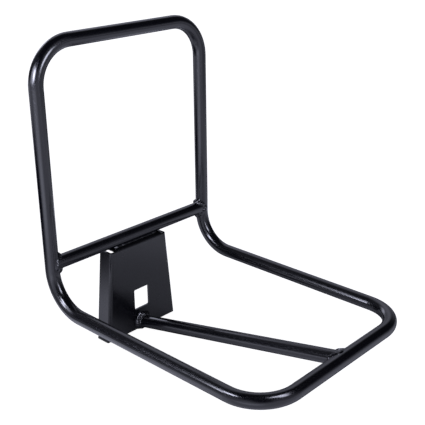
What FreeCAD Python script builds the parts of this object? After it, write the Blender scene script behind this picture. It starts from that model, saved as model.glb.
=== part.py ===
import FreeCAD, Part
import math
import os
from FreeCAD import Vector

# Detachable L-shaped carrier frame: one closed loop of bent round tube (flat
# shelf + upright back), a cross tube, a folded sheet bracket that hooks over a
# block on the bicycle, and a sloping strut. Everything is welded.
#
# Millimetres. Origin: middle of the bracket's inner seat face. +X across the
# frame, +Y out of the open rear of the bracket, +Z up. The shelf runs to -Y.

os.makedirs("parts", exist_ok=True)

# ---------------------------------------------------------------- dimensions
TUBE_R = 6.0                     # the same round tube everywhere
WALL = 1.5
BORE_R = TUBE_R - WALL

# Loop; lengths are between tube centre lines
BEND_R = 34.0                    # centre-line radius of all six bends
HALF_W = 91.4
LOOP_DEPTH = 232.9               # upright legs to front bar
LOOP_HEIGHT = 222.6              # shelf to top bar
UPRIGHT_Y = 6.0                  # plane of the upright legs
SHELF_Z = 12.5                   # plane of the shelf tubes
FRONT_Y = UPRIGHT_Y - LOOP_DEPTH
TOP_Z = SHELF_Z + LOOP_HEIGHT
SEAM = 1.6                       # gap closed by the loop's butt weld
SEAM_ROOT = 0.3                  # how far the butt weld stands into the bore
CROSS_Z = SHELF_Z + 38.4         # centre of the cross tube

# Bracket
SHEET = 2.0
PLATE_Y = -SHEET                 # outer face of the front plate
TRAY_TOP = CROSS_Z - TUBE_R      # top flange touches the cross tube
TRAY_BOTTOM = -44.8
HALF_AT_0 = 37.92                # outer half width at z = 0
TAPER = 0.0905                   # half width lost per mm of height
REAR_TOP_Y = 12.8                # rear edge of the side flanges at the top
REAR_BOTTOM_Y = 14.5             # and at the bottom
FOLD_R = 3.0                     # outer radius of the folds
TOP_FLANGE_HALF = 28.6           # the top flange is narrower than the plate
SIDE_TOP_Z = 43.15               # side flanges stop below the top flange's surface
SLIT = 1.3                       # height of the slit above the bottom flange
SLIT_PAST_SHEET = 0.4            # slit runs this far inside the side flange
SLIT_PAST_FOLD = 0.5             # slit starts this far behind the front fold

WINDOW_HALF = 8.9                # latch window
WINDOW_TOP = -2.2
WINDOW_BOTTOM = -22.6
WINDOW_R = 1.2

# Overshoots of the solids that trim the bracket
TRIM_X = 60.0                    # beyond both sides
TRIM_FRONT_Y = -10.0
TRIM_REAR_Y = 30.0
TRIM_Z = 5.0                     # above and below
PRISM_DEPTH = 40.0
POCKET_PAST_REAR = 5.0           # the hollow runs out of the open rear

# Strut
STRUT_REAR_Z = -37.39            # axis where it crosses the plate's outer face
STRUT_FRONT_Z = 13.29            # axis at the front bar's centre
STRUT_REAR = Vector(0, PLATE_Y, STRUT_REAR_Z)
STRUT_FRONT = Vector(0, FRONT_Y, STRUT_FRONT_Z)
STRUT_DIR = (STRUT_FRONT - STRUT_REAR).normalize()   # rear to front
STRUT_PAST_PLATE = 1.2           # extra length at the rear, trimmed by the bracket
STRUT_BORE_PAST_PLATE = 2.0
STRUT_PAST_BAR = 2.0             # extra length of the cutter for the weld beads
FRONT_BAR_HALF = 50.0            # half length of front bar used for trimming

# Welds
WELD_LEG = 3.8                   # leg of the fillet beads
BEAD_SINK = 0.2                  # bead edges start this far inside the surface
BEAD_STATIONS = 28               # cross-sections round a bead
FLANGE_BEAD_HALF = 26.0          # half length of the straight beads
FLANGE_BEAD_PROFILE = [          # distance from cross tube centre in Y, height over TRAY_TOP
    (1.4, -0.2), (4.3, -0.2), (4.5, 0.7), (3.4, 2.2), (1.4, 1.0),
]


# ------------------------------------------------------------------- helpers
def save(shape, name):
    shape = shape.copy()
    if shape.ShapeType == "Compound" and len(shape.Solids) == 1:
        shape = shape.Solids[0]
    if not shape.isValid():
        shape.fix(1e-5, 1e-5, 1e-4)
    shape.exportStep("parts/" + name + ".step")


def biggest(shape):
    return max(shape.Solids, key=lambda solid: solid.Volume)


def rod(start, end, radius):
    span = end - start
    return Part.makeCylinder(radius, span.Length, start, span)


def block(x_range, y_range, z_range):
    """box between (low, high) limits on each axis"""
    low, high = (Vector(*corner) for corner in zip(x_range, y_range, z_range))
    size = high - low
    return Part.makeBox(size.x, size.y, size.z, low)


def polygon_face(points):
    return Part.Face(Part.makePolygon(points + [points[0]]))


def tube_section(centre, direction, outer_r, inner_r):
    """disc, or ring where inner_r is above zero"""
    outer = Part.Wire([Part.makeCircle(outer_r, centre, direction)])
    if inner_r <= 0:
        return Part.Face(outer)
    inner = Part.Wire([Part.makeCircle(inner_r, centre, direction)])
    return Part.Face([outer, inner])


def bent_tube(points, outer_r, inner_r):
    """round tube along a polyline whose corners are bends of radius BEND_R"""
    pieces = []
    start = points[0]
    for i in range(1, len(points)):
        corner = points[i]
        direction = (corner - points[i - 1]).normalize()
        is_bend = i < len(points) - 1
        end = corner
        if is_bend:
            next_direction = (points[i + 1] - corner).normalize()
            turn = direction.getAngle(next_direction)
            setback = BEND_R * math.tan(turn / 2)
            end = corner - direction * setback
        pieces.append(tube_section(start, direction, outer_r, inner_r).extrude(end - start))
        if is_bend:
            axis = direction.cross(next_direction).normalize()
            inward = axis.cross(direction).normalize()
            section = tube_section(end, direction, outer_r, inner_r)
            pieces.append(section.revolve(end + inward * BEND_R, axis, math.degrees(turn)))
            start = corner + next_direction * setback
    return pieces[0].multiFuse(pieces[1:]).removeSplitter()


# --------------------------------------------------------------------- tubes
LOOP_POINTS = [
    Vector(SEAM / 2, FRONT_Y, SHELF_Z),
    Vector(HALF_W, FRONT_Y, SHELF_Z),
    Vector(HALF_W, UPRIGHT_Y, SHELF_Z),
    Vector(HALF_W, UPRIGHT_Y, TOP_Z),
    Vector(-HALF_W, UPRIGHT_Y, TOP_Z),
    Vector(-HALF_W, UPRIGHT_Y, SHELF_Z),
    Vector(-HALF_W, FRONT_Y, SHELF_Z),
    Vector(-SEAM / 2, FRONT_Y, SHELF_Z),
]
CROSS_LEFT = Vector(-HALF_W, UPRIGHT_Y, CROSS_Z)
CROSS_RIGHT = Vector(HALF_W, UPRIGHT_Y, CROSS_Z)

# Solid envelopes of the tubes trim everything that meets them. The lower bends
# reach above the cross tube's underside, so its trims need the whole loop.
loop_envelope = bent_tube(LOOP_POINTS, TUBE_R, 0)
cross_envelope = rod(CROSS_LEFT, CROSS_RIGHT, TUBE_R)
front_bar = rod(Vector(-FRONT_BAR_HALF, FRONT_Y, SHELF_Z),
                Vector(FRONT_BAR_HALF, FRONT_Y, SHELF_Z), TUBE_R)
strut_envelope = rod(STRUT_REAR - STRUT_DIR * STRUT_PAST_PLATE, STRUT_FRONT, TUBE_R)
long_strut = rod(STRUT_REAR, STRUT_FRONT + STRUT_DIR * STRUT_PAST_BAR, TUBE_R)


def loop_seam_weld():
    """butt weld that closes the loop, flush with the outside of the tube"""
    start = Vector(-SEAM / 2, FRONT_Y, SHELF_Z)
    section = tube_section(start, Vector(1, 0, 0), TUBE_R, BORE_R - SEAM_ROOT)
    return section.extrude(Vector(SEAM, 0, 0))


def cross_tube():
    tube = cross_envelope.cut(rod(CROSS_LEFT, CROSS_RIGHT, BORE_R))
    return biggest(tube.cut(loop_envelope))


def strut_tube():
    bore = rod(STRUT_REAR - STRUT_DIR * STRUT_BORE_PAST_PLATE, STRUT_FRONT, BORE_R)
    return biggest(strut_envelope.cut(bore).cut(front_bar).cut(tray_outer))


# ------------------------------------------------------------------- bracket
def half_width(z):
    return HALF_AT_0 - TAPER * z


def tray_prism(inset):
    """front trapezium run back along +Y, with the two upright folds rounded"""
    bottom = TRAY_BOTTOM - TRIM_Z
    top = TRAY_TOP + TRIM_Z
    bottom_half = half_width(bottom) - inset
    top_half = half_width(top) - inset
    front = PLATE_Y + inset
    outline = polygon_face([
        Vector(-bottom_half, front, bottom),
        Vector(bottom_half, front, bottom),
        Vector(top_half, front, top),
        Vector(-top_half, front, top),
    ])
    prism = outline.extrude(Vector(0, PRISM_DEPTH, 0))
    folds = [edge for edge in prism.Edges
             if abs(edge.tangentAt(edge.FirstParameter).z) > 0.9
             and all(abs(edge.Vertexes[end].Y - front) < 1e-6 for end in (0, 1))]
    return prism.makeFillet(FOLD_R - inset, folds)


def side_profile(inset, rear_extra):
    """side outline with the top and bottom folds, extruded across X"""
    def point(y, z):
        return Vector(-TRIM_X, y, z)

    def line(start, end):
        return Part.LineSegment(start, end).toShape()

    bottom = TRAY_BOTTOM + inset
    top = TRAY_TOP - inset
    front = PLATE_Y + inset
    radius = FOLD_R - inset
    arc_mid = radius * (1 - math.sqrt(0.5))    # arc's middle from both straight faces
    bottom_rear = point(REAR_BOTTOM_Y + rear_extra, bottom)
    bottom_fold = point(front + radius, bottom)
    front_low = point(front, bottom + radius)
    front_high = point(front, top - radius)
    top_fold = point(front + radius, top)
    top_rear = point(REAR_TOP_Y + rear_extra, top)
    low_mid = point(front + arc_mid, bottom + arc_mid)
    high_mid = point(front + arc_mid, top - arc_mid)
    outline = Part.Wire([
        line(bottom_rear, bottom_fold),
        Part.Arc(bottom_fold, low_mid, front_low).toShape(),
        line(front_low, front_high),
        Part.Arc(front_high, high_mid, top_fold).toShape(),
        line(top_fold, top_rear),
        line(top_rear, bottom_rear),
    ])
    return Part.Face(outline).extrude(Vector(2 * TRIM_X, 0, 0))


def tray_body(inset, rear_extra):
    return tray_prism(inset).common(side_profile(inset, rear_extra))


def latch_window():
    window = block((-WINDOW_HALF, WINDOW_HALF), (PLATE_Y - 2, PLATE_Y + 4),
                   (WINDOW_BOTTOM, WINDOW_TOP))
    corners = [edge for edge in window.Edges
               if abs(edge.tangentAt(edge.FirstParameter).y) > 0.99]
    return window.makeFillet(WINDOW_R, corners)


tray_outer = tray_body(0.0, 0.0)


def mounting_bracket():
    bracket = tray_outer.cut(tray_body(SHEET, POCKET_PAST_REAR))
    pocket = tray_prism(SHEET)
    above = TRAY_TOP + TRIM_Z
    slit_inner = half_width(TRAY_BOTTOM) - SHEET - SLIT_PAST_SHEET
    slit_bottom = TRAY_BOTTOM + SHEET
    for side in (-1, 1):
        # beyond the top flange's ends only the plate and the side flanges carry on
        end_x = sorted((side * TOP_FLANGE_HALF, side * TRIM_X))
        bracket = bracket.cut(block(end_x, (TRIM_FRONT_Y, TRIM_REAR_Y), (SIDE_TOP_Z, above)))
        flange_end = block(end_x, (0, TRIM_REAR_Y), (TRAY_TOP - FOLD_R, above))
        bracket = bracket.cut(pocket.common(flange_end))
        # relief slit between the side flange's lower edge and the bottom flange
        slit = block(sorted((side * slit_inner, side * TRIM_X)),
                     (PLATE_Y + FOLD_R + SLIT_PAST_FOLD, TRIM_REAR_Y),
                     (slit_bottom, slit_bottom + SLIT))
        bracket = bracket.cut(slit)
    return bracket.cut(latch_window()).removeSplitter()


# --------------------------------------------------------------- weld beads
def loft_ring(sections):
    """closed ring through polygon sections"""
    wires = [Part.makePolygon(section + [section[0]]) for section in sections]
    wires.append(wires[0])
    return Part.makeLoft(wires, True, False)


def station_angles():
    return [2 * math.pi * k / BEAD_STATIONS for k in range(BEAD_STATIONS)]


def tee_bead(origin, main_dir, branch_dir):
    """fillet bead round the end of a tube that stands on another of the same size

    origin is on the main tube's axis. In the local frame x runs along the main
    tube, z along the branch. The flanks are where |sin| is 1.
    """
    flank_leg = 2.3              # leg up the branch at the flanks
    flank_wrap = math.radians(32)  # extra angle of the bead round the main tube there
    root_r = 4.0                 # the hidden root lies inside both tubes
    root_height = 0.62           # as a fraction of the joint's height
    along = Vector(main_dir).normalize()
    up = Vector(branch_dir).normalize()
    across = up.cross(along).normalize()
    skin_r = TUBE_R - BEAD_SINK
    sections = []
    for angle in station_angles():
        cos, sin = math.cos(angle), math.sin(angle)
        flank = sin * sin
        # the added 1.0 rounds the dip of the joint line at the flanks
        joint_z = math.sqrt(TUBE_R * TUBE_R * cos * cos + 1.0)
        branch_z = joint_z + WELD_LEG + (flank_leg - WELD_LEG) * flank
        on_branch = Vector(skin_r * cos, skin_r * sin, branch_z)
        wrap = math.asin(0.96 * abs(sin)) + flank_wrap * abs(sin) ** 3
        wrap = math.copysign(wrap, sin)
        on_main = Vector((TUBE_R + WELD_LEG) * cos,
                         skin_r * math.sin(wrap), skin_r * math.cos(wrap))
        outward = Vector(cos, sin, math.sqrt(cos * cos + 0.01)).normalize()
        crown = (on_main + on_branch) * 0.5 + outward * (0.45 + 0.9 * flank)
        root = Vector(root_r * cos, root_r * sin, root_height * joint_z)
        sections.append([origin + along * p.x + across * p.y + up * p.z
                         for p in (on_main, crown, on_branch, root)])
    return loft_ring(sections)


def cross_tube_weld(end, inward):
    bead = tee_bead(end, Vector(0, 0, 1), inward)
    return biggest(bead.cut(cross_envelope).cut(loop_envelope))


def strut_front_weld():
    bead = tee_bead(Vector(0, FRONT_Y, SHELF_Z), Vector(1, 0, 0), STRUT_DIR * -1.0)
    return biggest(bead.cut(long_strut).cut(front_bar))


def strut_rear_weld():
    """bead round the strut's rear end, where it stands on the bracket's front plate"""
    across = Vector(1, 0, 0)
    upward = STRUT_DIR.cross(across).normalize()
    sections = []
    for angle in station_angles():
        cos, sin = math.cos(angle), math.sin(angle)
        radial = across * cos + upward * sin
        # the bead is smaller under the strut, near the plate's bottom fold
        low = max(0.0, -sin)
        skin = STRUT_REAR + radial * TUBE_R
        joint = skin + STRUT_DIR * ((PLATE_Y - skin.y) / STRUT_DIR.y)
        plate_out = Vector(cos, 0, sin)
        on_plate = joint + plate_out * (WELD_LEG - 3.0 * low ** 4)
        on_plate.y = PLATE_Y + 0.3 + 1.2 * low ** 4
        on_strut = joint + STRUT_DIR * (WELD_LEG - 0.6 * low) - radial * BEAD_SINK
        crown = (on_plate + on_strut) * 0.5 + (plate_out + STRUT_DIR).normalize() * 0.45
        root = joint - radial * 1.6
        root.y = PLATE_Y + 0.5
        sections.append([on_plate, crown, on_strut, root])
    bead = loft_ring(sections)
    return biggest(bead.cut(long_strut.fuse(strut_envelope)).cut(tray_outer))


def bracket_weld(side):
    """straight bead joining the top flange to the cross tube; side is -1 front, 1 rear"""
    profile = polygon_face([Vector(-FLANGE_BEAD_HALF, UPRIGHT_Y + side * y, TRAY_TOP + z)
                            for y, z in FLANGE_BEAD_PROFILE])
    bead = profile.extrude(Vector(2 * FLANGE_BEAD_HALF, 0, 0))
    return biggest(bead.cut(cross_envelope).cut(tray_outer))


# -------------------------------------------------------------------- output
save(bent_tube(LOOP_POINTS, TUBE_R, BORE_R), "loop_tube")
save(loop_seam_weld(), "loop_seam_weld")
save(cross_tube(), "cross_tube")
save(mounting_bracket(), "mounting_bracket")
save(strut_tube(), "strut_tube")
save(cross_tube_weld(CROSS_LEFT, Vector(1, 0, 0)), "cross_tube_weld_left")
save(cross_tube_weld(CROSS_RIGHT, Vector(-1, 0, 0)), "cross_tube_weld_right")
save(strut_front_weld(), "strut_front_weld")
save(strut_rear_weld(), "strut_rear_weld")
save(bracket_weld(-1), "bracket_weld_front")
save(bracket_weld(1), "bracket_weld_rear")
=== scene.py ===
"""A powder-coated tube frame: a bent loop tube with two uprights at the back, a cross tube
between them, a sheet bracket under the cross tube and a strut from the bracket to the
front of the loop. Metres; +Z is up, -Y is the front and -X is the left.
The script adds paint, weld beads, a bright studio and a camera."""

import math

import bpy
import numpy as np
from mathutils import Matrix, Vector


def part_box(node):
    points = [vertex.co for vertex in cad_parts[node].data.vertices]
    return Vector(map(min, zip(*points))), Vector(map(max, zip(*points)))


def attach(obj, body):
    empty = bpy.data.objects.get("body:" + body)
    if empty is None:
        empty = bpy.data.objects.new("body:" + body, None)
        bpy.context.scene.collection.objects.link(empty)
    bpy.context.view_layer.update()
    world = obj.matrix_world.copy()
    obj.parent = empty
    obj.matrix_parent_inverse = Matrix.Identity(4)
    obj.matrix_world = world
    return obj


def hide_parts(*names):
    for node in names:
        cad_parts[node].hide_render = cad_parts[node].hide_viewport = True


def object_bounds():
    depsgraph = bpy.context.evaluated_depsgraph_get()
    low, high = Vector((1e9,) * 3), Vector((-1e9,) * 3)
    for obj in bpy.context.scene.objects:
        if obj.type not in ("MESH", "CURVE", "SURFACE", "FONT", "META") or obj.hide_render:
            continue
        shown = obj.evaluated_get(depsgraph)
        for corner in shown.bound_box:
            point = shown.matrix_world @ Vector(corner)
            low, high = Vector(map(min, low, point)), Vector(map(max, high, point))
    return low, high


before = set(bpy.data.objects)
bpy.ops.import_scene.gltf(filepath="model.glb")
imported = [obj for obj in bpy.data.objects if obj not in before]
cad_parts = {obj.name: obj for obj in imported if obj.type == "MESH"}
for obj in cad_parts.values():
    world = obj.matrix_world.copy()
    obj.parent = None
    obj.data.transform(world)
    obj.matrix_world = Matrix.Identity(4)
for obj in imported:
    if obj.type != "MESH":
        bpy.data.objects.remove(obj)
cad_box = [list(map(float, point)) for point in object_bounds()]

# ------------------------------------------------------------ sizes, from the frame
cross_low, cross_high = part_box("cross_tube")
loop_low, loop_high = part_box("loop_tube")
TUBE_R = (cross_high.z - cross_low.z) / 2
HALF_WIDTH = loop_high.x - TUBE_R      # centre line of an upright
UPRIGHT_Y = (cross_high.y + cross_low.y) / 2
CROSS_Z = (cross_high.z + cross_low.z) / 2
FRONT_Y = loop_low.y + TUBE_R
SHELF_Z = loop_low.z + TUBE_R
PLATE_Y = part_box("mounting_bracket")[0].y
FLANGE_Z = CROSS_Z - TUBE_R
BASE_Z = cad_box[0][2]

STRUT_REAR = Vector((0, PLATE_Y, -0.03739))
STRUT_FRONT = Vector((0, FRONT_Y, 0.01329))
STRUT_DIR = (STRUT_FRONT - STRUT_REAR).normalized()

WELD_LEG = 0.0040        # reach of a bead along each of the two parts it joins
RING_STEPS = 300         # sections round a closed bead


# ------------------------------------------------------------------- small helpers
def new_object(name, verts, faces, smooth=True):
    mesh = bpy.data.meshes.new(name)
    mesh.from_pydata(verts, [], faces)
    mesh.update()
    if smooth:
        for polygon in mesh.polygons:
            polygon.use_smooth = True
    obj = bpy.data.objects.new(name, mesh)
    bpy.context.scene.collection.objects.link(obj)
    return obj


def dress(obj, material):
    obj.data.materials.clear()
    obj.data.materials.append(material)


def wave(seed):
    """Smooth repeatable noise of two periodic arguments, about -1..1."""
    rng = np.random.RandomState(seed)
    # u frequency, v frequency, phase, amplitude
    terms = [
        (rng.randint(1, 9), rng.randint(0, 4), rng.uniform(0, 2 * math.pi), rng.uniform(0.4, 1.0))
        for _ in range(9)
    ]
    total = sum(term[3] for term in terms) * 0.45

    def noise(u, v):
        return sum(amp * math.sin(fu * u + fv * v + phase) for fu, fv, phase, amp in terms) / total
    return noise


class Shader:
    """Fills the emptied node tree of a material or world."""

    def __init__(self, owner):
        owner.use_nodes = True
        self.tree = owner.node_tree
        self.tree.nodes.clear()

    def node(self, kind, inputs=None, **settings):
        """Add a node; an input is given either a value or a socket to link from."""
        new = self.tree.nodes.new("ShaderNode" + kind)
        for key, value in settings.items():
            setattr(new, key, value)
        for key, value in (inputs or {}).items():
            if isinstance(value, bpy.types.NodeSocket):
                self.tree.links.new(value, new.inputs[key])
            else:
                new.inputs[key].default_value = value
        return new

    def math(self, operation, first, second=None):
        inputs = {0: first}
        if second is not None:
            inputs[1] = second
        return self.node("Math", inputs, operation=operation).outputs[0]

    def remap(self, source, span, to=(0.0, 1.0), curve="LINEAR"):
        """Carry the range `span` of the source over to the range `to`."""
        return self.node("MapRange", {
            "Value": source,
            "From Min": span[0],
            "From Max": span[1],
            "To Min": to[0],
            "To Max": to[1],
        }, interpolation_type=curve).outputs[0]

    def fade(self, source, span, to=(1.0, 0.0)):
        return self.remap(source, span, to, curve="SMOOTHSTEP")

    def length(self, a, b):
        squares = [self.math("MULTIPLY", part, part) for part in (a, b)]
        return self.math("SQRT", self.math("ADD", *squares))

    def split(self, vector):
        return self.node("SeparateXYZ", {0: vector}).outputs

    def output(self, surface, kind="OutputMaterial"):
        self.node(kind, {"Surface": surface})

    def output_by_ray(self, seen, lit, kind="OutputMaterial"):
        """The camera sees one shader, all other rays meet the other."""
        camera_ray = self.node("LightPath").outputs["Is Camera Ray"]
        self.output(self.node("MixShader", {0: camera_ray, 1: lit, 2: seen}).outputs[0], kind)


# ------------------------------------------------------------------------ materials
def powder_coat(name, base, roughness, peel, wear=0.0, thin=(0.0024, 0.0025, 0.0060)):
    """Satin powder coat: orange peel, uneven gloss, dust and rubbed edges.

    base and thin are the colours of thick and thin paint, peel the strength of the
    relief and wear the strength of the rubbed edges."""
    material = bpy.data.materials.new(name)
    shader = Shader(material)
    coords = shader.node("TexCoord").outputs["Object"]

    def noise(scale, detail, rough=0.5):
        return shader.node("TexNoise", {
            "Vector": coords, "Scale": scale, "Detail": detail, "Roughness": rough,
        }).outputs["Fac"]

    def mix(factor, first, second):
        return shader.node("Mix", {
            "Factor": factor, "A": first, "B": second,
        }, data_type="RGBA").outputs["Result"]

    def bump(height, strength, distance, **below):
        return shader.node("Bump", {
            "Strength": strength, "Distance": distance, "Height": height, **below,
        }).outputs[0]

    cloud = noise(scale=38.0, detail=4.0, rough=0.55)       # handling marks, thickness
    mottle = noise(scale=420.0, detail=3.0, rough=0.6)      # uneven gloss
    orange_peel = noise(scale=1500.0, detail=2.0)
    grit = noise(scale=5200.0, detail=1.0)                  # powder texture
    speck = noise(scale=2600.0, detail=0.0)                 # dust nibs

    # colour: very dark, lighter and bluer where the coat is thin, grey at the nibs
    colour = mix(shader.remap(cloud, (0.35, 0.68)), (*base, 1), (*thin, 1))
    nibs = shader.remap(speck, (0.735, 0.775), to=(0.0, 0.175))
    colour = mix(nibs, colour, (0.12, 0.12, 0.125, 1))

    # rubbed edges: where a rounded normal leaves the true one, broken up by noise
    if wear > 0:
        true_normal = shader.node("NewGeometry").outputs["Normal"]
        rounded = shader.node("Bevel", {"Radius": 0.0006}, samples=4).outputs["Normal"]
        agreement = shader.node("VectorMath", {
            0: true_normal, 1: rounded,
        }, operation="DOT_PRODUCT").outputs["Value"]
        edge = shader.remap(agreement, (0.97, 0.75))
        breaks = shader.remap(mottle, (0.42, 0.62), to=(0.25, 1.0))
        rub = shader.math("MULTIPLY", shader.math("MULTIPLY", edge, breaks), wear)
        colour = mix(rub, colour, (0.030, 0.030, 0.034, 1))

    # gloss: satin, with cloudy and fine variation
    cloudy = shader.remap(cloud, (0.3, 0.7), to=(roughness - 0.035, roughness + 0.045))
    fine = shader.remap(mottle, (0.3, 0.7), to=(-0.03, 0.03))

    peel_normal = bump(orange_peel, strength=peel, distance=0.00002)
    normal = bump(grit, strength=peel * 0.8, distance=0.000004, Normal=peel_normal)

    shader.output(shader.node("BsdfPrincipled", {
        "Base Color": colour,
        "Roughness": shader.math("ADD", cloudy, fine),
        "Normal": normal,
        "Specular IOR Level": 0.5,
        "Coat Weight": 0.25,
        "Coat Roughness": max(0.05, roughness - 0.12),
        "Coat Normal": peel_normal,
    }).outputs[0])
    return material


WELD_BASE = (0.0014, 0.0015, 0.0040)
tube_paint = powder_coat(
    "powder_coat_tube", base=(0.0014, 0.0015, 0.0042), roughness=0.19, peel=0.11)
sheet_paint = powder_coat(
    "powder_coat_sheet", base=(0.0013, 0.0015, 0.0030), roughness=0.22, peel=0.07,
    wear=0.12, thin=(0.0016, 0.0017, 0.0040))
weld_paint = powder_coat("powder_coat_weld", WELD_BASE, roughness=0.16, peel=0.3)
dull_weld_paint = powder_coat("powder_coat_weld_dull", WELD_BASE, roughness=0.27, peel=0.3)

for part in ("loop_tube", "cross_tube", "strut_tube", "loop_seam_weld"):
    dress(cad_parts[part], tube_paint)

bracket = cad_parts["mounting_bracket"]
dress(bracket, sheet_paint)
paint_radius = bracket.modifiers.new("paint_radius", "BEVEL")
paint_radius.width = 0.00035
paint_radius.segments = 3
paint_radius.limit_method = "ANGLE"
paint_radius.angle_limit = math.radians(50)


# ---------------------------------------------------------------------- weld beads
def bead_mesh(name, sections, closed=True):
    """Skin over equal-length closed sections: a ring, or an open run with capped ends."""
    count, size = len(sections), len(sections[0])
    verts = [point for section in sections for point in section]
    faces = []
    for i in range(count if closed else count - 1):
        j = (i + 1) % count
        for k in range(size):
            q = (k + 1) % size
            faces.append((i * size + k, i * size + q, j * size + q, j * size + k))
    if not closed:
        for i in (0, count - 1):
            verts.append(sum(sections[i], Vector()) / size)
            centre = len(verts) - 1
            for k in range(size):
                a = i * size + k
                b = i * size + (k + 1) % size
                faces.append((centre, b, a) if i == 0 else (centre, a, b))
    return new_object(name, verts, faces)


def bead_section(toe_a, crest, toe_b, root, angle, ripples, noise, size, steps=14):
    """An arc from toe_a over the crest to toe_b, closed through the root in the joint.

    angle is the place along the bead, ripples the number in 2 pi, and size scales
    the ripples and the unevenness."""
    chord = toe_b - toe_a
    outward = crest - (toe_a + toe_b) / 2
    bulge = outward.length
    outward = outward.normalized()
    points = []
    for i in range(steps + 1):
        t = i / steps
        crown = 4 * t * (1 - t)
        # crescent ripples: the ends of each ripple run ahead of its middle in phase
        phase = (angle * ripples / (2 * math.pi) - 0.42 * crown) % 1.0
        ripple = (1 - (2 * phase - 1) ** 2) ** 0.5
        height = bulge * crown * (1 + 0.38 * noise(angle, 2.1 * t))
        height += size * crown ** 0.6 * 0.085 * (ripple - 0.5)
        wobble = 0.10 * size * noise(angle + 1.7, 0.0)
        points.append(toe_a + chord * t + outward * height + outward * wobble * crown)
    points.append(root + (toe_b - root) * 0.35)
    points.append(root)
    points.append(root + (toe_a - root) * 0.35)
    return points


def tee_bead(name, joint, main_dir, branch_dir, seed, swell=None):
    """Rippled bead round the end of a tube standing on another of the same size.

    swell(angle) gives what is added to the two legs and to the bulge, and how far
    the ripples are calmed."""
    ripples = 24
    side_leg = 0.0023           # leg on the branch at the sides of the main tube
    unevenness = 0.14
    axis_x = Vector(main_dir).normalized()
    axis_z = Vector(branch_dir).normalized()
    axis_y = axis_z.cross(axis_x).normalized()
    noise = wave(seed)
    lump = wave(seed + 50)
    skin_r = TUBE_R - 0.0002    # toes sink a little into the tubes
    sections = []
    for k in range(RING_STEPS):
        angle = 2 * math.pi * k / RING_STEPS
        c, s = math.cos(angle), math.sin(angle)
        main_leg = WELD_LEG * (1 + unevenness * lump(angle, 0.3))
        branch_leg = WELD_LEG * (1 + unevenness * lump(angle + 2.0, 1.3))
        bulge = 0.00045 + 0.0009 * s * s
        calm = 0.0
        if swell:
            main_add, branch_add, bulge_add, calm = swell(angle)
            main_leg += main_add
            branch_leg += branch_add
            bulge += bulge_add
        # height of the line where the tubes meet, kept smooth at the sides
        meet_z = math.sqrt(TUBE_R * TUBE_R * c * c + 0.001 ** 2)
        branch_z = meet_z + branch_leg + (side_leg - branch_leg) * (s * s)
        branch_toe = (skin_r * c, skin_r * s, branch_z)
        # the toe on the main tube wraps past its widest point at the sides
        wrap = math.asin(0.96 * abs(s)) + math.radians(32) * abs(s) ** 3
        main_toe = (
            (TUBE_R + main_leg) * c,
            skin_r * math.copysign(math.sin(wrap), s),
            skin_r * math.cos(wrap),
        )
        out = (c, s, math.sqrt(c * c + 0.01))
        out_length = math.sqrt(sum(part * part for part in out))
        crest = tuple(
            (a + b) / 2 + bulge * part / out_length
            for a, b, part in zip(main_toe, branch_toe, out)
        )
        root = (TUBE_R * 0.66 * c, TUBE_R * 0.66 * s, 0.62 * meet_z)
        corners = [
            joint + axis_x * x + axis_y * y + axis_z * z
            for x, y, z in (main_toe, crest, branch_toe, root)
        ]
        size = 0.0042 * (1 - calm)
        sections.append(bead_section(*corners, angle, ripples, noise, size))
    bead = bead_mesh(name, sections)
    dress(bead, weld_paint)
    return bead


def mound(angle):
    """Smooth mound on the upper right of the joint, where the ripples die out."""
    away = (angle + 0.60 + math.pi) % (2 * math.pi) - math.pi
    rise = math.exp(-(away / 0.95) ** 2)
    calm = 0.92 * math.exp(-(away / 1.6) ** 4)
    return 0.0046 * rise, 0.0036 * rise, 0.0004 * rise, calm


def plate_bead(name, seed):
    """Rippled bead round the strut where it stands on the bracket's front plate."""
    ripples = 26
    unevenness = 0.16
    noise = wave(seed)
    lump = wave(seed + 50)
    axis_x = Vector((1, 0, 0))
    axis_y = STRUT_DIR.cross(axis_x).normalized()
    sections = []
    for k in range(RING_STEPS):
        angle = 2 * math.pi * k / RING_STEPS
        c, s = math.cos(angle), math.sin(angle)
        radial = axis_x * c + axis_y * s
        low = max(0.0, -s)      # 1 at the underside, where the bead is thinner
        wall = STRUT_REAR + radial * TUBE_R
        hit = wall + STRUT_DIR * ((PLATE_Y - wall.y) / STRUT_DIR.y)
        flat = Vector((c, 0, s)).normalized()
        plate_leg = (WELD_LEG - 0.003 * low ** 4) * (1 + unevenness * lump(angle, 0.3))
        strut_leg = (WELD_LEG - 0.0006 * low) * (1 + unevenness * lump(angle + 2.0, 1.3))
        plate_toe = hit + flat * plate_leg
        plate_toe.y = PLATE_Y + 0.0003 + 0.0012 * low ** 4
        strut_toe = hit + STRUT_DIR * strut_leg - radial * 0.0002
        crest = (plate_toe + strut_toe) * 0.5 + (flat + STRUT_DIR).normalized() * 0.0006
        root = hit - radial * 0.0016
        root.y = PLATE_Y + 0.0005
        sections.append(bead_section(
            plate_toe, crest, strut_toe, root, angle, ripples, noise, size=0.0044))
    bead = bead_mesh(name, sections)
    # keep the bead above the lowest point of the frame
    for vertex in bead.data.vertices:
        vertex.co.z = max(vertex.co.z, BASE_Z + 0.0006)
    dress(bead, dull_weld_paint)
    return bead


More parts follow.
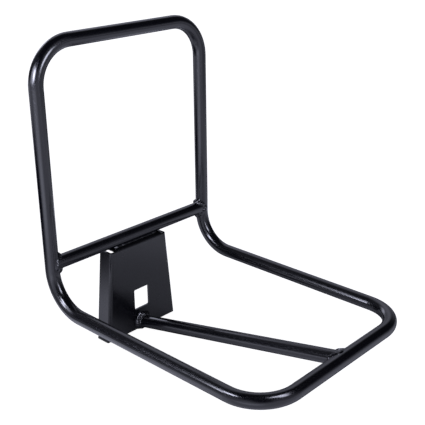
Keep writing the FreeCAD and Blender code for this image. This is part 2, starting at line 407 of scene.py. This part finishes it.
def flange_bead(name, side, seed):
    """Run of weld in the wedge between the cross tube and the bracket's top flange.

    side is -1 for the front of the tube and 1 for the rear."""
    ripples = 30
    steps = 360
    half_length = 0.026
    inner_y = 0.0024            # both toes' distance from the tube's middle at the ends
    noise = wave(seed)
    sections = []
    for k in range(steps + 1):
        t = k / steps
        x = -half_length + 2 * half_length * t
        taper = min(1.0, min(t, 1 - t) * 16) ** 0.5 if 0 < t < 1 else 0.05
        uneven = 1 + 0.07 * noise(t * 2 * math.pi, 0.5)
        flange_y = inner_y + 0.0020 * taper * uneven
        tube_y = min(inner_y + 0.0011 * taper * uneven, TUBE_R * 0.9)
        tube_z = CROSS_Z - math.sqrt(TUBE_R ** 2 - tube_y ** 2) + 0.0002
        flange_toe = Vector((x, UPRIGHT_Y + side * flange_y, FLANGE_Z - 0.0002))
        tube_toe = Vector((x, UPRIGHT_Y + side * tube_y, tube_z))
        out = Vector((0, side * 0.7, 0.3)).normalized()
        crest = (flange_toe + tube_toe) * 0.5 + out * 0.0003
        root = Vector((x, UPRIGHT_Y + side * 0.0018, FLANGE_Z + 0.0001))
        sections.append(bead_section(
            flange_toe, crest, tube_toe, root, t * 2 * math.pi, ripples, noise,
            size=0.0004, steps=8))
    bead = bead_mesh(name, sections, closed=False)
    dress(bead, dull_weld_paint)
    return bead


# keyed by the frame piece that each bead replaces
beads = {
    "cross_tube_weld_left": tee_bead(
        "bead_cross_left", joint=Vector((-HALF_WIDTH, UPRIGHT_Y, CROSS_Z)),
        main_dir=(0, 0, 1), branch_dir=(1, 0, 0), seed=11),
    "cross_tube_weld_right": tee_bead(
        "bead_cross_right", joint=Vector((HALF_WIDTH, UPRIGHT_Y, CROSS_Z)),
        main_dir=(0, 0, 1), branch_dir=(-1, 0, 0), seed=23),
    "strut_front_weld": tee_bead(
        "bead_strut_front", joint=Vector((0, FRONT_Y, SHELF_Z)),
        main_dir=(1, 0, 0), branch_dir=-STRUT_DIR, seed=37, swell=mound),
    "strut_rear_weld": plate_bead("bead_strut_rear", seed=41),
    "bracket_weld_front": flange_bead("bead_flange_front", side=-1, seed=53),
    "bracket_weld_rear": flange_bead("bead_flange_rear", side=1, seed=67),
}
for piece, bead in beads.items():
    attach(bead, "root")
    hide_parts(piece)


# -------------------------------------------------------------------------- camera
def add_camera():
    """Camera in front on the left, looking down to the back right."""
    yaw, pitch, roll = math.radians(46.77), math.radians(21.52), math.radians(-0.66)
    aim = Vector((0.04308, -0.060, 0.06155))    # from the uprights' line at shelf height
    distance = 0.7335

    data = bpy.data.cameras.new("camera")
    camera = bpy.data.objects.new("camera", data)
    bpy.context.scene.collection.objects.link(camera)
    forward = Vector((
        math.sin(yaw) * math.cos(pitch),
        math.cos(yaw) * math.cos(pitch),
        -math.sin(pitch),
    ))
    level_right = Vector((math.cos(yaw), -math.sin(yaw), 0.0))
    level_up = level_right.cross(forward)
    right = level_right * math.cos(roll) + level_up * math.sin(roll)
    up = -level_right * math.sin(roll) + level_up * math.cos(roll)
    place = aim - forward * distance + Vector((0, UPRIGHT_Y, SHELF_Z))
    rotation = Matrix((right, up, -forward)).transposed().to_4x4()
    camera.matrix_world = Matrix.Translation(place) @ rotation
    data.sensor_width = 36.0
    data.lens = 69.217412
    data.clip_start = 0.05
    data.clip_end = 60.0
    bpy.context.scene.camera = camera


add_camera()


# -------------------------------------------------------------------------- studio
# A dim room with soft boxes, a pale wall behind and a pale table below. The world
# lights the paint from above and the table from below; the camera sees plain white.
COOL = (0.93, 0.95, 1.16, 1)


class Studio(Shader):
    """Shader whose light depends on the direction it is seen in."""

    def look_along(self, vector):
        x, y, z = self.split(vector)
        self.azimuth = self.math("ARCTAN2", y, x)
        self.elevation = self.math("ARCSINE", z)

    def within(self, distance, half, soft):
        edge = (math.radians(max(half - soft, -0.001)), math.radians(half + soft))
        return self.fade(distance, edge)

    def patch(self, azimuth, elevation, half_az, half_el, soft_az, soft_el, level):
        """Soft-edged rectangle of light, in degrees."""
        turn = self.math("SUBTRACT", self.azimuth, math.radians(azimuth))
        turn = self.math("MODULO", self.math("ADD", turn, 3 * math.pi), 2 * math.pi)
        turn = self.math("ABSOLUTE", self.math("SUBTRACT", turn, math.pi))
        rise = self.math("SUBTRACT", self.elevation, math.radians(elevation))
        rise = self.math("ABSOLUTE", rise)
        across = self.within(turn, half_az, soft_az)
        upright = self.within(rise, half_el, soft_el)
        return self.math("MULTIPLY", self.math("MULTIPLY", across, upright), level)


# azimuth, elevation, half width, half height, side softness, top softness, level
ROOM_LIGHTS = [
    (45, 38, 24, 13, 14, 12, 0.80),      # pale wall behind, right
    (45, 10, 40, 12, 20, 12, 0.30),      # lower part of the same wall
    (78, 20, 9, 13, 7, 8, 2.2),          # opening behind
    (176, 8, 34, 24, 14, 14, 0.5),       # spill of the left soft box
    (276, 18, 26, 26, 12, 12, 0.35),     # spill of the front one
    (228, 4, 40, 10, 20, 8, 0.5),        # camera side, low
    (316, 3, 20, 5, 10, 6, 0.25),        # foot of the paper sweep, front right
    (68, 52, 14, 8, 12, 8, 0.40),        # ceiling behind
    (115, 42, 30, 18, 15, 10, 0.12),     # high, behind and to the left
]


def add_world():
    world = bpy.data.worlds.new("studio")
    bpy.context.scene.world = world
    studio = Studio(world)
    studio.look_along(studio.node("TexCoord").outputs["Generated"])
    horizon = (math.radians(-16), math.radians(-5))
    level = studio.fade(studio.elevation, horizon, to=(0.5, 0.03))
    for light in ROOM_LIGHTS:
        level = studio.math("ADD", level, studio.patch(*light))
    lit = studio.node("Background", {"Color": COOL, "Strength": level})
    seen = studio.node("Background", {"Color": (1, 1, 1, 1), "Strength": 1.05})
    studio.output_by_ray(seen.outputs[0], lit.outputs[0], kind="OutputWorld")


def flap_opening(shader, along, height, toward_y):
    """Light left by a curved flap that hides the box's far (+Y) side from the front."""
    rise = shader.math("SUBTRACT", height, 0.116)
    slope = shader.math("MULTIPLY", rise, 0.28)
    curve = shader.math("MULTIPLY", shader.math("MULTIPLY", rise, rise), 0.4)
    edge = shader.math("SUBTRACT", shader.math("ADD", slope, curve), 0.015)
    beyond = shader.math("SUBTRACT", along, edge)
    hidden = shader.fade(beyond, (-0.011, 0.013), to=(0.0, 0.95))
    hidden = shader.math("MULTIPLY", hidden, shader.fade(toward_y, (-0.53, -0.50)))
    return shader.math("SUBTRACT", 1.0, hidden)


def soft_box(name, corner, across, wide, tall, glows, flap=False):
    """Upright see-through sheet close to the object that glows downward only.

    glows: place along X or Y, height, half width, half height, level."""
    corner, across, up = Vector(corner), Vector(across), Vector((0, 0, 1))
    foot = corner + across * wide
    quad = [corner, foot, foot + up * tall, corner + up * tall]
    sheet = new_object(name, quad, [(0, 1, 2, 3)], smooth=False)
    material = bpy.data.materials.new(name)
    shader = Shader(material)
    x, y, height = shader.split(shader.node("TexCoord").outputs["Object"])
    along = x if abs(across.x) > 0.5 else y
    total = 0.0
    for glow_along, glow_height, half_wide, half_tall, level in glows:
        reach = shader.length(
            shader.math("DIVIDE", shader.math("SUBTRACT", along, glow_along), half_wide),
            shader.math("DIVIDE", shader.math("SUBTRACT", height, glow_height), half_tall))
        glow = shader.math("MULTIPLY", shader.fade(reach, (0.55, 1.35)), level)
        total = shader.math("MAXIMUM", total, glow)
    _, toward_y, toward_z = shader.split(shader.node("NewGeometry").outputs["Incoming"])
    total = shader.math("MULTIPLY", total, shader.fade(toward_z, (-0.06, 0.04)))
    if flap:
        total = shader.math("MULTIPLY", total, flap_opening(shader, along, height, toward_y))
    emission = shader.node("Emission", {"Color": COOL, "Strength": total}).outputs[0]
    clear = shader.node("BsdfTransparent").outputs[0]
    shader.output(shader.node("AddShader", {0: emission, 1: clear}).outputs[0])
    sheet.data.materials.append(material)
    sheet.visible_camera = False
    sheet.visible_diffuse = False
    sheet.visible_shadow = False


# round pools of painted light and painted shade on the table: x, y, inner radius, outer radius, level
# painted shade: the object's shade, which keeps the front glow off the table near it
OBJECT_SHADE_POOL = (-0.05, -0.05, 0.15, 0.42, 1.0)
LIGHT_POOLS = [
    (-0.18, -0.03, 0.06, 0.17, 0.55),      # under the left soft box
    (0.27, 0.04, 0.05, 0.14, 1.0),         # light falling past the upright
]
# painted shadows and painted shade on the table, behind, far off and under the object and strut
PAINTED_SHADE_POOLS = [
    (-0.45, 0.45, 0.18, 0.42, 0.92),       # behind, left
    (-0.30, 0.36, 0.17, 0.34, 0.88),
    (1.10, -1.20, 0.45, 1.15, 0.55),       # far front, right
    (0.06, -0.06, 0.05, 0.17, 0.40),       # under the object
    (0.018, -0.060, 0.008, 0.034, 0.80),   # under the strut
    (0.012, -0.040, 0.006, 0.027, 0.80),
]
# painted shade on the table left of the object, used only towards the LEFT_SHADE directions
LEFT_SHADE_POOL = (-0.10, -0.02, 0.10, 0.14, 1.0)
# painted shade and painted light seen on the table as patches, columns as in ROOM_LIGHTS
BACK_SHADE = (40, -28, 55, 40, 30, 14, 0.85)
FRONT_GLOW = (200, -20, 24, 12, 18, 10, 1.25)
LEFT_SHADE = (205, -27, 52, 9, 10, 6, 0.80)


def mirrored_table(studio):
    """The table as the paint mirrors it, a glow with painted light and shade: painted shade behind,
    painted pools of light, and painted shadows under and near the object.
    """
    geometry = studio.node("NewGeometry").outputs
    studio.look_along(studio.node("VectorMath", {
        0: geometry["Incoming"], "Scale": -1.0,
    }, operation="SCALE").outputs[0])
    table_x, table_y, _ = studio.split(geometry["Position"])

    def pool(x, y, inner, outer, level):
        distance = studio.length(
            studio.math("SUBTRACT", table_x, x), studio.math("SUBTRACT", table_y, y))
        return studio.fade(distance, (inner, outer), to=(level, 0.0))

    lit = studio.math("SUBTRACT", 1.0, studio.patch(*BACK_SHADE))
    lit = studio.math("MULTIPLY", lit, 0.80)
    far = studio.math("SUBTRACT", 1.0, pool(*OBJECT_SHADE_POOL))
    glow = studio.math("MULTIPLY", far, studio.patch(*FRONT_GLOW))
    for light in [glow] + [pool(*row) for row in LIGHT_POOLS]:
        lit = studio.math("ADD", lit, light)
    # painted shadows: pools of shade multiplied into the table's glow
    painted_shade_spots = [pool(*row) for row in PAINTED_SHADE_POOLS]
    painted_shade_spots.append(studio.math("MULTIPLY", pool(*LEFT_SHADE_POOL), studio.patch(*LEFT_SHADE)))
    for shade_spot in painted_shade_spots:
        lit = studio.math("MULTIPLY", lit, studio.math("SUBTRACT", 1.0, shade_spot))
    # painted contact shadow: the table's glow dims by ambient occlusion where the object is near
    contact_shadow = studio.node("AmbientOcclusion", {"Distance": 0.14}, samples=6).outputs["AO"]
    lit = studio.math("MULTIPLY", lit, studio.math("POWER", contact_shadow, 1.6))
    return studio.node("Emission", {"Color": COOL, "Strength": lit}).outputs[0]


def add_floor():
    half = 12
    corners = [(-half, -half, 0), (half, -half, 0), (half, half, 0), (-half, half, 0)]
    floor = new_object("floor", corners, [(0, 1, 2, 3)], smooth=False)
    floor.location = (0, 0, BASE_Z - 0.0005)
    material = bpy.data.materials.new("floor_white_and_painted_light")
    studio = Studio(material)
    # seen directly: a plain white sheet
    noise = studio.node("TexNoise", {"Scale": 3.0}).outputs["Fac"]
    white = studio.remap(noise, (0.0, 1.0), to=(0.80, 0.83))
    diffuse = studio.node("BsdfDiffuse", {"Color": white}).outputs[0]
    emission = studio.node("Emission", {"Strength": 0.97}).outputs[0]
    seen = studio.node("AddShader", {0: diffuse, 1: emission}).outputs[0]
    # all other rays meet the table's glow, with its painted light and painted shade
    studio.output_by_ray(seen, mirrored_table(studio))
    floor.data.materials.append(material)


add_world()
soft_box("soft_box_left", corner=(-0.310, -0.26, 0.02), across=(0, 1, 0), wide=0.56, tall=0.50, glows=[
    (0.026, 0.130, 0.030, 0.036, 19.0),
    (-0.010, 0.185, 0.034, 0.046, 15.0),
    (-0.068, 0.282, 0.074, 0.060, 24.0),
    (0.035, 0.325, 0.040, 0.045, 8.0),
    (0.060, 0.250, 0.090, 0.110, 3.2),
], flap=True)
soft_box("soft_box_front", corner=(-0.20, -0.330, 0.04), across=(1, 0, 0), wide=0.36, tall=0.42, glows=[
    (-0.026, 0.280, 0.066, 0.090, 13.0),
    (-0.039, 0.165, 0.028, 0.060, 10.0),
])
add_floor()

view = bpy.context.scene.view_settings
view.view_transform = "Standard"
view.look = "None"
view.exposure = 0.0
view.gamma = 1.0
